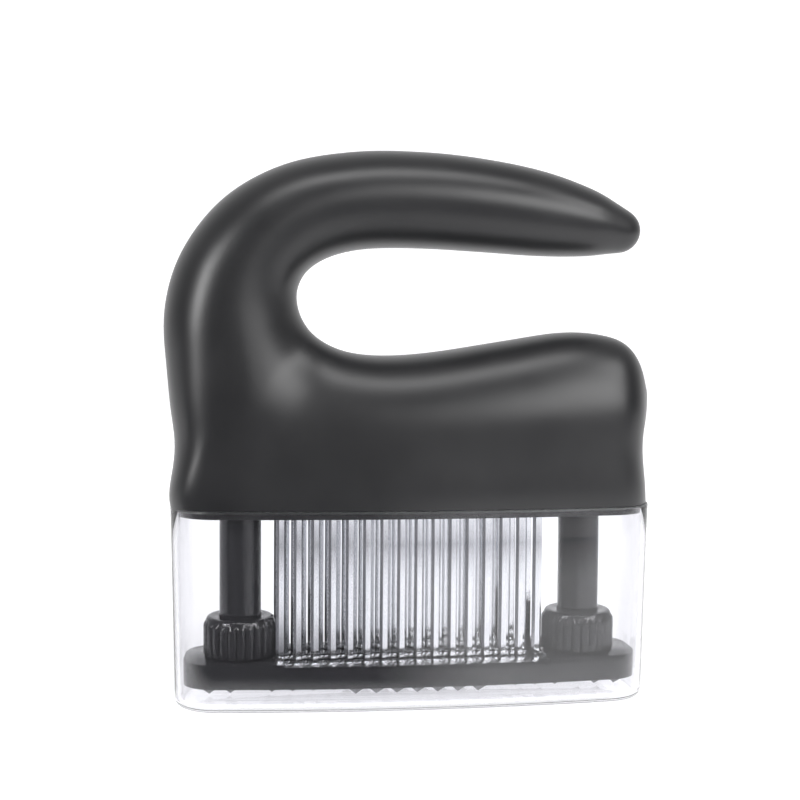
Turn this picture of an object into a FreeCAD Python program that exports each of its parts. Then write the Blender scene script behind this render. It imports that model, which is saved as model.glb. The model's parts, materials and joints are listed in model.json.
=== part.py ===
import FreeCAD, Part
import math
import os

from FreeCAD import Vector

# Blade meat tenderizer: a C shaped handle over a clear blade cover. Three rows of steel blades hang from the
# handle. A sprung press plate on two guide posts rides up the blades when the handle is pushed down.
# Millimetres, +X to the right of the handle, +Y to the rear, +Z up, origin under the middle of the cover.

doc = FreeCAD.newDocument("blade_tenderizer")

SIZES = [
    ("cover_width", 145.0, "width of the cover and of the handle base"),
    ("cover_depth", 40.0, "depth of the base at its middle"),
    ("cover_height", 60.0, "height of the cover, where the handle starts"),
    ("cover_corner", 13.0, "plan radius of the base corners"),
    ("cover_bow", 3.2, "how far the long sides bow out"),
    ("cover_draft", 1.2, "how much each cover side leans in at the floor"),
    ("cover_wall", 1.6, "cover wall"),
    ("cover_floor", 2.0, "cover floor"),
    ("cover_round", 2.4, "rounding under the cover"),
    ("floor_round", 1.4, "rounding inside the cover's floor"),
    ("rim_gap", 0.3, "gap between the cover rim and the handle"),
    ("arm_rise", 90.0, "height of the arm above the base"),
    ("arm_reach", 69.0, "how far the arm's tip reaches to the right"),
    ("shell_wall", 2.6, "wall of the handle shells"),
    ("tip_solid", 9.0, "solid length at the arm's tip"),
    ("waist_depth", 1.5, "how far the ends draw in above the base"),
    ("waist_rise", 16.0, "height of that waist above the base"),
    ("waist_spread", 8.5, "how far up and down the waist reaches"),
    ("plug_depth", 2.8, "how far the base plate plugs into the cover"),
    ("plug_gap", 0.3, "gap between the plug and the cover"),
    ("deck_rise", 3.5, "height of the base plate's deck inside the handle"),
    ("deck_gap", 1.3, "gap between the deck and the shell wall"),
    ("sleeve_rise", 8.0, "height of the post sleeves above the base"),
    ("sleeve_wall", 2.3, "wall of the post sleeves"),
    ("post_offset", 51.8, "distance of each post from the middle"),
    ("post_radius", 6.2, "guide post radius"),
    ("post_bore", 4.5, "radius of the spring bore in the post"),
    ("post_top", 72.0, "height of the post's top at rest"),
    ("post_socket", 2.0, "plate left under the post"),
    ("post_solid", 11.0, "solid length at the foot of the post"),
    ("running_gap", 0.08, "radial running gap of posts and nuts"),
    ("collar_radius", 7.8, "radius of the collar that the nut clamps"),
    ("collar_height", 2.0, "height of that collar"),
    ("bead_height", 0.35, "height of the small bead above the nut"),
    ("ring_outer", 8.2, "outer radius of the post's stop ring"),
    ("ring_height", 1.4, "height of the stop ring"),
    ("ring_groove", 0.6, "depth of the stop ring's groove"),
    ("ring_gap", 0.05, "gap between the stop ring and its groove"),
    ("ring_mouth", 6.8, "width of the stop ring's mouth"),
    ("seat_gap", 0.3, "gap between parts that rest on each other"),
    ("plate_low", 7.0, "height of the press plate's underside at rest"),
    ("plate_height", 7.3, "press plate thickness at its ends"),
    ("plate_gap", 1.1, "gap between the press plate and the cover"),
    ("plate_corner", 9.0, "plan radius of the press plate's corners"),
    ("plate_step", 0.7, "step down from the plate's ends to its middle"),
    ("seam_offset", 39.2, "distance of the step from the middle"),
    ("seam_width", 0.3, "width and depth of the witness lines"),
    ("slot_width", 1.7, "width of the blade slots"),
    ("slot_ends", 0.6, "how far the slots run past the last blades"),
    ("tooth_pitch", 6.1, "spacing of the teeth"),
    ("tooth_base", 4.2, "side of a tooth's square foot"),
    ("tooth_height", 2.0, "height of a tooth"),
    ("boss_radius", 8.2, "radius of the plate's post boss"),
    ("boss_height", 6.6, "height of that boss"),
    ("nut_radius", 10.4, "radius of the nut under its ribs"),
    ("nut_height", 11.7, "nut height"),
    ("rib_height", 0.6, "height of the nut's ribs"),
    ("rib_width", 1.2, "width of a rib"),
    ("rib_root", 0.4, "how deep a rib goes into the nut"),
    ("rib_end", 0.2, "gap between the ribs and the chamfer"),
    ("rib_fade", 1.6, "length over which a rib slopes back"),
    ("nut_ribs", 24, "number of ribs"),
    ("nut_roof", 3.0, "thickness of the nut's roof"),
    ("nut_chamfer", 1.2, "chamfer round the nut's top"),
    ("blade_count", 16, "blades in a row"),
    ("blade_pitch", 5.17, "spacing of the blades"),
    ("row_pitch", 6.2, "spacing of the blade rows"),
    ("blade_width", 2.4, "blade width"),
    ("blade_thick", 0.9, "blade thickness"),
    ("blade_tip", 8.6, "height of the blade tips at rest"),
    ("blade_bevel", 3.5, "length of the ground tip"),
    ("blade_gap", 0.06, "gap round a blade in its holder"),
    ("outer_shift", 1.5, "how far the front and rear blade rows stand to the left"),
    ("middle_shift", 0.42, "how far the middle blade row stands to the right"),
    ("ridge_place", 0.31, "place of the ridge on a blade's face, left of its middle"),
    ("ridge_rise", 0.34, "how far that ridge stands out"),
    ("holder_margin", 1.3, "length of the blade holder past its last blades"),
    ("holder_depth", 18.4, "depth of the blade holder"),
    ("holder_height", 8.0, "height of the blade holder"),
    ("clamp_height", 2.4, "thickness of the clamp plate"),
    ("clamp_screw_x", 25.85, "place of the clamp screws along X"),
    ("clamp_screw_y", 3.1, "place of the clamp screws along Y"),
    ("clamp_end", 0.5, "space under the clamp screws"),
    ("screw_radius", 1.2, "screw shank radius"),
    ("screw_head", 2.2, "screw head radius"),
    ("screw_head_height", 1.7, "screw head height"),
    ("screw_gap", 0.08, "radial gap round a screw"),
    ("screw_end", 1.0, "space past the end of a screw in a boss"),
    ("socket_radius", 1.1, "radius of a screw's socket"),
    ("socket_depth", 1.0, "depth of a screw's socket"),
    ("base_screw_x", 30.0, "place of the base screws along X"),
    ("base_screw_y", 13.3, "place of the base screws along Y"),
    ("base_screw_boss", 3.1, "radius of the base screw bosses"),
    ("boss_rib", 2.4, "thickness of the rib behind such a boss"),
    ("base_screw_reach", 12.0, "how far a base screw goes up past the deck"),
    ("spring_outer", 4.1, "outer radius of the return spring"),
    ("spring_wire", 0.9, "spring wire"),
    ("spring_top", 100.0, "height of the spring's upper end"),
    ("rod_radius", 2.2, "radius of the rod inside the spring"),
    ("rod_low", 60.0, "height of the rod's lower end"),
    ("rod_point", 0.6, "how much the rod's lower end narrows"),
    ("rod_flange", 5.2, "radius of the rod's flange"),
    ("flange_height", 3.0, "height of the rod's flange"),
    ("stub_radius", 1.6, "radius of the stub that locates the rod"),
    ("stub_height", 3.6, "height of that stub"),
    ("stub_gap", 0.2, "space above the stub"),
    ("seat_half", 6.0, "half width of the spring seats in the shells"),
    ("seat_height", 4.6, "height of those seats"),
    ("shell_boss", 3.6, "radius of the shell screw bosses"),
    ("shell_screw_depth", 9.0, "how far a shell screw goes into the front boss"),
    ("counterbore", 2.8, "radius of the shell screw counterbores"),
    ("counterbore_floor", 5.0, "boss left under a shell screw's head"),
]

sheet = doc.addObject("Spreadsheet::Sheet", "Sizes")
for line_number, (alias, value, note) in enumerate(SIZES, start=1):
    sheet.set(f"A{line_number}", note)
    sheet.set(f"B{line_number}", str(value))
    sheet.setAlias(f"B{line_number}", alias)
doc.recompute()


def size(alias):
    """Reads one driving dimension from the sheet."""
    return float(sheet.get(alias))


HALF_WIDTH = size("cover_width") / 2
HALF_DEPTH = size("cover_depth") / 2
BASE = size("cover_height")
PLUG_LOW = BASE - size("plug_depth")
DECK = BASE + size("deck_rise")
SLEEVE_TOP = BASE + size("sleeve_rise")
PLATE_TOP = size("plate_low") + size("plate_height")
BOSS_TOP = PLATE_TOP + size("boss_height")
HOLDER_TOP = DECK + size("holder_height")
CLAMP_TOP = HOLDER_TOP + size("clamp_height")
ROD_TOP = size("spring_top") + size("flange_height")
SIDES = {"left": -size("post_offset"), "right": size("post_offset")}
ROWS = {"front": -1, "middle": 0, "rear": 1}
SLOT_LENGTH = size("blade_pitch") * (size("blade_count") - 1) + size("blade_width") + 2 * size("slot_ends")
PARTS = []


def row_place(row):
    """Where a row of blades stands: its middle along X and Y."""
    shift = size("middle_shift") if row == 0 else -size("outer_shift")
    return shift, row * size("row_pitch")


def blade_slot(row, low, high):
    """The slot through which a row of blades passes, as a tool."""
    shift, y = row_place(row)
    width = size("slot_width")
    start = Vector(shift - SLOT_LENGTH / 2, y - width / 2, low)
    return Part.makeBox(SLOT_LENGTH, width, high - low, start)


def keep(piece, label):
    """Names a finished sub-part, which is then checked and written."""
    piece.Label = label
    PARTS.append(piece)
    return piece


def keep_shape(shape, label):
    """Holds a shape that is lofted, bent or repeated in code as one sub-part of the document."""
    piece = doc.addObject("Part::Feature", label)
    piece.Shape = shape
    piece.Placement = FreeCAD.Placement()
    return keep(piece, label)


# Plan outline of the base, which the cover, the base plate and the handle share

def bowed_outline(half_width, half_depth, corner, height):
    """A rounded rectangle whose long sides bow out, as a wire at the given height."""
    flat = half_width - corner
    bow = size("cover_bow") * (flat / (HALF_WIDTH - size("cover_corner"))) ** 2
    bow_radius = (flat * flat + bow * bow) / (2 * bow)
    lean = math.asin(flat / bow_radius)
    radius = corner / (1 - math.sin(lean))
    centre_x = flat - radius * math.sin(lean)
    centre_y = half_depth - bow - radius * math.cos(lean)

    def corner_point(angle, side_x, side_y):
        x = centre_x + radius * math.cos(angle)
        y = centre_y + radius * math.sin(angle)
        return Vector(side_x * x, side_y * y, height)

    start, middle, end = 0.0, (math.pi / 2 - lean) / 2, math.pi / 2 - lean
    edges = []
    for side_x, side_y in ((1, 1), (-1, 1), (-1, -1), (1, -1)):
        points = [corner_point(a, side_x, side_y) for a in (start, middle, end)]
        if side_x * side_y < 0:
            points.reverse()
        edges.append(Part.Arc(*points).toShape())
    for side_y in (1, -1):
        left = corner_point(end, -1, side_y)
        right = corner_point(end, 1, side_y)
        edges.append(Part.Arc(left, Vector(0, side_y * half_depth, height), right).toShape())
    for side_x in (1, -1):
        edges.append(Part.makeLine(corner_point(start, side_x, 1), corner_point(start, side_x, -1)))
    return Part.Wire(Part.__sortEdges__(edges))


def base_outline(inset, height):
    """The base's plan outline, drawn in by inset on every side."""
    return bowed_outline(HALF_WIDTH - inset, HALF_DEPTH - inset, size("cover_corner") - inset, height)


def slab(outline_at, low, high):
    """A straight slab between two heights, from a function that gives the outline."""
    return Part.Face(outline_at(low)).extrude(Vector(0, 0, high - low))


def base_half_depth(x):
    """Half the depth of the base at a place along X."""
    corner = size("cover_corner")
    flat = HALF_WIDTH - corner
    bow = size("cover_bow")
    bow_radius = (flat * flat + bow * bow) / (2 * bow)
    x = min(abs(x), HALF_WIDTH)
    if x <= flat:
        return HALF_DEPTH - bow_radius + math.sqrt(bow_radius**2 - x * x)
    lean = math.asin(flat / bow_radius)
    radius = corner / (1 - math.sin(lean))
    centre_x = flat - radius * math.sin(lean)
    centre_y = HALF_DEPTH - bow - radius * math.cos(lean)
    return centre_y + math.sqrt(max(0.0, radius**2 - (x - centre_x) ** 2))


# Handle: rings that follow the C from the right lobe, round the bend and along the arm to its tip.
# Each ring joins a point of the inner outline to a point of the outer one. X is measured at the drawn width
# and Z from the base, and lift says how much of the ring rises with the arm.

DRAWN_HALF = 72.5
DRAWN_HALF_DEPTH = 20.0
DRAWN_RISE = 90.0
DRAWN_REACH = 69.0
RING_STEPS = 32
RING_COUNT = 80
TIP_CROWDING = 1.5
UNDER_BASE = -17.0
LOBE_TOP = 51.3
LOBE_DROP = 17.0
LOBE_SWELL = 0.2
BODY_POWER = 2.6
SHOULDER_POWER = 2.3

# inner x, inner z, outer x, outer z, half depth (None: fitted to the base), inner power, outer power, lift
RINGS = [
    (48.0, 51.6, 48.0, UNDER_BASE, None, SHOULDER_POWER, BODY_POWER, 0.0),
    (28.0, 48.8, 28.5, UNDER_BASE, None, SHOULDER_POWER, BODY_POWER, 0.0),
    (6.0, 45.3, 4.0, UNDER_BASE, None, SHOULDER_POWER, BODY_POWER, 0.0),
    (-8.0, 44.2, -18.0, UNDER_BASE, None, SHOULDER_POWER, BODY_POWER, 0.0),
    (-18.3, 44.9, -40.0, -16.5, None, SHOULDER_POWER, 2.8, 0.0),
    (-25.0, 47.0, -58.5, -13.0, None, 2.2, 3.2, 0.0),
    (-30.0, 50.2, -72.6, -2.5, 18.8, 2.1, 3.6, 0.0),
    (-33.2, 54.2, -72.2, 17.0, 18.6, 2.0, 2.9, 0.1),
    (-35.0, 59.0, -73.2, 37.0, 18.4, 2.0, 2.5, 0.3),
    (-35.0, 64.0, -74.4, 56.0, 18.2, 2.0, 2.2, 0.5),
    (-32.6, 68.8, -69.8, 73.5, 17.8, 2.0, 2.1, 0.8),
    (-27.4, 72.6, -57.5, 90.0, 17.2, 2.0, 2.0, 1.0),
    (-20.5, 75.0, -39.8, 100.4, 16.5, 2.0, 2.0, 1.0),
    (-11.5, 76.2, -19.0, 104.6, 15.8, 2.0, 2.0, 1.0),
    (3.0, 76.3, 2.0, 105.0, 15.2, 2.0, 2.0, 1.0),
    (20.0, 75.5, 20.5, 103.4, 14.6, 2.0, 2.0, 1.0),
    (38.0, 74.5, 39.5, 99.9, 13.6, 2.0, 2.0, 1.0),
    (52.0, 74.6, 55.0, 94.6, 11.4, 2.0, 2.0, 1.0),
    (60.4, 75.5, 63.6, 89.8, 8.6, 2.0, 2.0, 1.0),
    (64.6, 76.0, 67.2, 87.5, 6.9, 2.0, 2.0, 1.0),
    (66.9, 77.2, 68.8, 85.4, 4.9, 2.0, 2.0, 1.0),
    (68.3, 78.8, 69.35, 83.4, 2.8, 2.0, 2.0, 1.0),
    (68.95, 80.05, 69.4, 82.0, 1.2, 2.0, 2.0, 1.0),
]


def lobe_rings():
    """The rings that round the right end of the body, between its end face and the straight part."""
    flat = DRAWN_HALF - size("cover_corner")
    radius = size("cover_corner")
    rings = []
    for degrees in (90, 80, 68, 54, 38, 20):
        angle = math.radians(degrees)
        out = math.sin(angle)
        top = LOBE_TOP - LOBE_DROP * (1 - math.cos(angle)) ** 0.8
        inner_x = flat + (radius + LOBE_SWELL) * out
        rings.append((inner_x, top, flat + radius * out, UNDER_BASE, None, SHOULDER_POWER, BODY_POWER, 0.0))
    return rings


def placed_ring(ring):
    """Moves a drawn ring with the base width, the arm's height and its reach, and finds its depth."""
    inner_x, inner_z, outer_x, outer_z, depth, inner_power, outer_power, lift = ring
    reach = size("arm_reach") - DRAWN_REACH if lift == 1.0 else 0.0
    rise = lift * (size("arm_rise") - DRAWN_RISE)

    def across(x):
        along_arm = max(0.0, x / DRAWN_REACH) * reach
        on_base = (1 - lift if x > 0 else 1) * (HALF_WIDTH - DRAWN_HALF) * x / DRAWN_HALF
        return x + on_base + along_arm

    inner = Vector(across(inner_x), 0, BASE + inner_z + rise)
    outer = Vector(across(outer_x), 0, BASE + outer_z + rise)
    if depth is None:
        line = outer - inner
        half = line.Length / 2
        crossing = (BASE - (inner.z + outer.z) / 2) * line.Length / line.z
        power = outer_power if crossing > 0 else inner_power
        crossing_x = (inner.x + outer.x) / 2 + line.x / line.Length * crossing
        depth = base_half_depth(crossing_x) / (1 - (abs(crossing) / half) ** power) ** (1 / power)
    else:
        depth += (HALF_DEPTH - DRAWN_HALF_DEPTH) * (1 - lift)
    return (inner.x, inner.z, outer.x, outer.z, depth, inner_power, outer_power)


def smooth_between(values, places, at):
    """Cubic interpolation of rows of numbers that stand at the given places."""
    last = len(places) - 1
    upper = next((i for i in range(1, last) if places[i] >= at), last)
    before, low, high, after = max(0, upper - 2), upper - 1, upper, min(last, upper + 1)
    span = places[high] - places[low]
    part = (at - places[low]) / span
    result = []
    for v0, v1, v2, v3 in zip(values[before], values[low], values[high], values[after]):
        slope_low = (v2 - v0) / (places[high] - places[before]) * span
        slope_high = (v3 - v1) / (places[after] - places[low]) * span
        result.append(
            (2 * part**3 - 3 * part**2 + 1) * v1
            + (part**3 - 2 * part**2 + part) * slope_low
            + (3 * part**2 - 2 * part**3) * v2
            + (part**3 - part**2) * slope_high
        )
    return result


def drawn_in(point):
    """Draws a point in at the waist above the base."""
    bump = math.exp(-(((point.z - BASE - size("waist_rise")) / size("waist_spread")) ** 2))
    across = 1 - size("waist_depth") / HALF_WIDTH * bump
    depth = 1 - size("waist_depth") / 2 / HALF_DEPTH * bump
    return Vector(point.x * across, point.y * depth, point.z)


def sharpened(points):
    """Moves the points of a closed ring out, so that the smooth surface they control passes through them."""
    count = len(points)
    result = []
    for n, point in enumerate(points):
        beside = points[n - 1] + points[(n + 1) % count]
        result.append(point * (4 / 3) - beside * (1 / 6))
    return result


def ring_points(ring, inset):
    """Points round one ring: an oval that is squarer where its power is higher."""
    inner_x, inner_z, outer_x, outer_z, depth, inner_power, outer_power = ring
    inner = Vector(inner_x, 0, inner_z)
    outer = Vector(outer_x, 0, outer_z)
    middle = (inner + outer) * 0.5
    along = (outer - inner).normalize()
    half = (outer - inner).Length / 2 - inset
    points = []
    for step in range(RING_STEPS):
        angle = 2 * math.pi * step / RING_STEPS
        c, s = math.cos(angle), math.sin(angle)
        power = outer_power if c > 0 else inner_power
        out = math.copysign(abs(c) ** (2 / power), c) * half
        side = math.copysign(abs(s) ** (2 / power), s) * (depth - inset)
        points.append(drawn_in(middle + along * out + Vector(0, side, 0)))
    return sharpened(points)


def handle_form(inset, start, stop):
    """The closed form of the handle, drawn in by inset, without its first and last stretch."""
    rings = [placed_ring(r) for r in lobe_rings() + RINGS]
    places = [0.0]
    for a, b in zip(rings, rings[1:]):
        inner_step = math.hypot(a[0] - b[0], a[1] - b[1])
        outer_step = math.hypot(a[2] - b[2], a[3] - b[3])
        places.append(places[-1] + (inner_step + outer_step) / 2)
    first, last = start, places[-1] - stop
    grid = []
    for n in range(RING_COUNT):
        left = 1 - n / (RING_COUNT - 1)
        at = last - (last - first) * left**TIP_CROWDING
        grid.append(ring_points(smooth_between(rings, places, at), inset))
    surface = Part.BSplineSurface()
    long_knots = [float(k) for k in range(RING_COUNT - 2)]
    long_counts = [4] + [1] * (RING_COUNT - 4) + [4]
    round_knots = [float(k) for k in range(RING_STEPS + 1)]
    round_counts = [1] * (RING_STEPS + 1)
    surface.buildFromPolesMultsKnots(
        grid, long_counts, round_counts, long_knots, round_knots, False, True, 3, 3
    )
    long_end = long_knots[-1]
    half_turn = RING_STEPS / 2
    sides = [
        surface.toShape(0.0, long_end, 0.0, half_turn),
        surface.toShape(0.0, long_end, half_turn, 2 * half_turn),
    ]
    caps = []
    for at in (0.0, long_end):
        ring = surface.uIso(at)
        caps.append(Part.makeRuledSurface(ring.toShape(0.0, half_turn), ring.toShape(half_turn, 2 * half_turn)))
    shell = Part.makeShell(sides + caps)
    shell.sewShape()
    solid = Part.makeSolid(shell)
    if solid.Volume < 0:
        solid.reverse()
    return solid


BIG = 400.0


def half_space(side, low):
    """A block that holds everything above low, in front of or behind the seam."""
    start = -BIG / 2 if side == "front" else 0.0
    return Part.makeBox(BIG, BIG / 2, BIG, Vector(-BIG / 2, start, low))


# Shell screws run along Y, with bosses inside both shells
SHELL_SCREWS = [(-55.0, 64.0, 0.6), (-21.0, 89.5, 1.0), (38.0, 87.2, 1.0), (18.0, 31.0, 0.0)]


def shell_screw_places():
    places = []
    for x, rise, lift in SHELL_SCREWS:
        places.append((x, BASE + rise + lift * (size("arm_rise") - DRAWN_RISE)))
    return places


def build_handle_shells():
    outer = handle_form(0.0, 0.0, 0.0)
    inner = handle_form(size("shell_wall"), size("shell_wall"), size("tip_solid"))
    radius = size("screw_radius") + size("screw_gap")
    screw_z = DECK + size("seat_gap")
    for side, facing in (("front", -1), ("rear", 1)):
        space = half_space(side, BASE)
        body = outer.common(space)
        shell = body.cut(inner)
        added = []
        for x, z in shell_screw_places():
            added.append(Part.makeCylinder(size("shell_boss"), BIG / 4, Vector(x, 0, z), Vector(0, facing, 0)))
        for x in SIDES.values():
            start = Vector(x - size("seat_half"), 0 if facing > 0 else -BIG / 4, ROD_TOP)
            added.append(Part.makeBox(2 * size("seat_half"), BIG / 4, size("seat_height"), start))
        for x in (-size("base_screw_x"), size("base_screw_x")):
            start = Vector(x, facing * size("base_screw_y"), screw_z)
            height = size("base_screw_reach") + size("screw_end")
            added.append(Part.makeCylinder(size("base_screw_boss"), height, start))
            rib_y = size("base_screw_y") if facing > 0 else -BIG / 4 - size("base_screw_y")
            rib_start = Vector(x - size("boss_rib") / 2, rib_y, screw_z)
            added.append(Part.makeBox(size("boss_rib"), BIG / 4, height, rib_start))
        for extra in added:
            shell = shell.fuse(extra.common(body))
        holes = []
        for x, z in shell_screw_places():
            if side == "front":
                depth = size("shell_screw_depth") + size("screw_end")
                holes.append(Part.makeCylinder(radius, depth, Vector(x, 0, z), Vector(0, -1, 0)))
            else:
                floor = size("counterbore_floor")
                holes.append(Part.makeCylinder(radius, BIG / 4, Vector(x, 0, z), Vector(0, 1, 0)))
                start = Vector(x, floor, z)
                holes.append(Part.makeCylinder(size("counterbore"), BIG / 4, start, Vector(0, 1, 0)))
        for x in SIDES.values():
            start = Vector(x, 0, ROD_TOP)
            depth = size("stub_height") + size("stub_gap")
            holes.append(Part.makeCylinder(size("stub_radius") + size("running_gap"), depth, start))
        for x in (-size("base_screw_x"), size("base_screw_x")):
            start = Vector(x, facing * size("base_screw_y"), screw_z)
            holes.append(Part.makeCylinder(radius, size("base_screw_reach"), start))
        for hole in holes:
            shell = shell.cut(hole)
        keep_shape(shell.removeSplitter(), f"handle_shell_{side}")


def screw(head_at, direction, shank):
    """A screw with a round head and socket; head_at is the seat under its head."""
    head = Part.makeCylinder(size("screw_head"), size("screw_head_height"), head_at, direction * -1)
    stem = Part.makeCylinder(size("screw_radius"), shank, head_at, direction)
    top = head_at - direction * size("screw_head_height")
    socket = Part.makeCylinder(size("socket_radius"), size("socket_depth"), top, direction)
    return head.fuse(stem).removeSplitter().cut(socket)


def build_screws():
    shell = []
    floor = size("counterbore_floor")
    for x, z in shell_screw_places():
        shell.append(screw(Vector(x, floor, z), Vector(0, -1, 0), floor + size("shell_screw_depth")))
    keep_shape(Part.makeCompound(shell), "shell_screws")

    clamp = []
    for x in (-size("clamp_screw_x"), size("clamp_screw_x")):
        for y in (-size("clamp_screw_y"), size("clamp_screw_y")):
            length = CLAMP_TOP - DECK + size("deck_rise")
            clamp.append(screw(Vector(x, y, CLAMP_TOP), Vector(0, 0, -1), length))
    keep_shape(Part.makeCompound(clamp), "blade_clamp_screws")

    base = []
    seat = PLUG_LOW + size("screw_head_height") + size("seat_gap")
    for x in (-size("base_screw_x"), size("base_screw_x")):
        for y in (-size("base_screw_y"), size("base_screw_y")):
            length = DECK + size("base_screw_reach") - seat - size("screw_end")
            base.append(screw(Vector(x, y, seat), Vector(0, 0, 1), length))
    keep_shape(Part.makeCompound(base), "base_plate_screws")


def build_cover():
    """Clear cover: walls that lean in towards a rounded floor."""
    draft = size("cover_draft")
    top = BASE - size("rim_gap")
    wall = size("cover_wall")
    outer = Part.makeLoft([base_outline(draft, 0), base_outline(0.0, top)], True, True)
    low_edges = [e for e in outer.Edges if e.BoundBox.ZMax < 0.01]
    outer = outer.makeFillet(size("cover_round"), low_edges)
    floor = size("cover_floor")
    lean_at_floor = draft * (1 - floor / top)
    inner = Part.makeLoft([base_outline(wall + lean_at_floor, floor), base_outline(wall, top)], True, True)
    low_edges = [e for e in inner.Edges if e.BoundBox.ZMax < floor + 0.01]
    inner = inner.makeFillet(size("floor_round"), low_edges)
    keep_shape(outer.cut(inner), "cover")


def build_base_plate():
    """Plate that closes the handle, plugs into the cover and guides the posts."""
    plug = slab(lambda z: base_outline(size("cover_wall") + size("plug_gap"), z), PLUG_LOW, BASE)
    deck = slab(lambda z: base_outline(size("shell_wall") + size("deck_gap"), z), BASE, DECK)
    plate = plug.fuse(deck)
    bore = size("post_radius") + size("running_gap")
    for x in SIDES.values():
        start = Vector(x, 0, PLUG_LOW)
        sleeve = Part.makeCylinder(bore + size("sleeve_wall"), SLEEVE_TOP - PLUG_LOW, start)
        plate = plate.fuse(sleeve)
    plate = plate.removeSplitter()
    for x in SIDES.values():
        plate = plate.cut(Part.makeCylinder(bore, SLEEVE_TOP - PLUG_LOW, Vector(x, 0, PLUG_LOW)))
    for row in ROWS.values():
        plate = plate.cut(blade_slot(row, PLUG_LOW, DECK))
    radius = size("screw_radius") + size("screw_gap")
    for x in (-size("clamp_screw_x"), size("clamp_screw_x")):
        for y in (-size("clamp_screw_y"), size("clamp_screw_y")):
            end = BASE - size("clamp_end")
            plate = plate.cut(Part.makeCylinder(radius, DECK - end, Vector(x, y, end)))
    seat = PLUG_LOW + size("screw_head_height") + size("seat_gap")
    for x in (-size("base_screw_x"), size("base_screw_x")):
        for y in (-size("base_screw_y"), size("base_screw_y")):
            plate = plate.cut(Part.makeCylinder(radius, DECK - PLUG_LOW, Vector(x, y, PLUG_LOW)))
            wide = size("screw_head") + size("seat_gap")
            plate = plate.cut(Part.makeCylinder(wide, seat - PLUG_LOW, Vector(x, y, PLUG_LOW)))
    keep_shape(plate, "base_plate")


# Teeth under the press plate, with one left out of the outer rows a little inside each post
TOOTH_GAP = 4.0
TOOTH_EDGE = 0.4
TOOTH_SLOT = 0.1
TOOTH_END = 5.0
TOOTH_SUNK = 0.3
EDGE_TEETH = 3
SIDE_TEETH = 10
LANE_TEETH = 6


def tooth(x, y):
    """A four sided pyramid that points down from the plate."""
    half = size("tooth_base") / 2
    top = size("plate_low")
    corners = [(x - half, y - half), (x + half, y - half), (x + half, y + half), (x - half, y + half)]
    upper = Part.makePolygon([Vector(a, b, top + TOOTH_SUNK) for a, b in corners + corners[:1]])
    foot = Part.makePolygon([Vector(a, b, top) for a, b in corners + corners[:1]])
    tip = Vector(x, y, top - size("tooth_height"))
    faces = [Part.Face(upper)]
    for k in range(4):
        a, b = corners[k], corners[(k + 1) % 4]
        low_a, low_b = Vector(*a, top), Vector(*b, top)
        high_a, high_b = Vector(*a, top + TOOTH_SUNK), Vector(*b, top + TOOTH_SUNK)
        faces.append(Part.Face(Part.makePolygon([low_a, low_b, high_b, high_a, low_a])))
        faces.append(Part.Face(Part.makePolygon([low_a, low_b, tip, low_a])))
    solid = Part.makeSolid(Part.makeShell(faces))
    if solid.Volume < 0:
        solid.reverse()
    return solid


def tooth_places(plate_half_width, plate_half_depth):
    """Rows of teeth between the slots and the edges. The outermost row only fits where the sides bow out."""
    pitch = size("tooth_pitch")
    half = size("tooth_base") / 2
    row = size("row_pitch")
    slot = size("slot_width") / 2
    edge_row = plate_half_depth - half - TOOTH_EDGE
    side_row = row + slot + half + TOOTH_SLOT
    lane_row = row / 2
    places = []
    for side in (-1, 1):
        for n in range(-EDGE_TEETH, EDGE_TEETH + 1):
            places.append((n * pitch, side * edge_row))
        for n in range(-SIDE_TEETH, SIDE_TEETH + 1):
            x = n * pitch
            beside_post = abs(abs(x) - size("post_offset") + TOOTH_GAP) < pitch / 2
            if abs(x) < plate_half_width - half - TOOTH_END and not beside_post:
                places.append((x, side * side_row))
        for n in range(-LANE_TEETH, LANE_TEETH + 1):
            places.append((n * pitch, side * lane_row))
    return places


def build_press_plate():
    """Sprung plate: two raised ends with post bosses, a slotted middle and teeth underneath."""
    low = size("plate_low")
    lean = size("cover_draft") * (1 - low / BASE)
    inset = size("cover_wall") + size("plate_gap") + lean
    half_width = HALF_WIDTH - inset
    half_depth = HALF_DEPTH - inset
    plate = slab(lambda z: bowed_outline(half_width, half_depth, size("plate_corner"), z), low, PLATE_TOP)
    teeth = [tooth(x, y) for x, y in tooth_places(half_width, half_depth)]
    bosses = []
    for x in SIDES.values():
        start = Vector(x, 0, size("plate_low") + size("post_socket"))
        bosses.append(Part.makeCylinder(size("boss_radius"), BOSS_TOP - start.z, start))
    plate = plate.multiFuse(teeth + bosses).removeSplitter()
    seam = size("seam_offset")
    middle_top = PLATE_TOP - size("plate_step")
    cuts = [Part.makeBox(2 * seam, BIG / 4, BIG, Vector(-seam, -BIG / 8, middle_top))]
    for row in ROWS.values():
        cuts.append(blade_slot(row, 0, BOSS_TOP))
    line = size("seam_width")
    for x in (-seam, seam):
        for facing in (-1, 1):
            edge = half_depth - size("cover_bow") * (seam / (HALF_WIDTH - size("cover_corner"))) ** 2
            start = Vector(x - line / 2, facing * edge - line, low)
            cuts.append(Part.makeBox(line, 2 * line, size("plate_height"), start))
    for x in SIDES.values():
        start = Vector(x, 0, low + size("post_socket"))
        cuts.append(Part.makeCylinder(size("post_radius") + size("running_gap"), BOSS_TOP, start))
    keep_shape(plate.cut(cuts), "press_plate")


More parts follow.
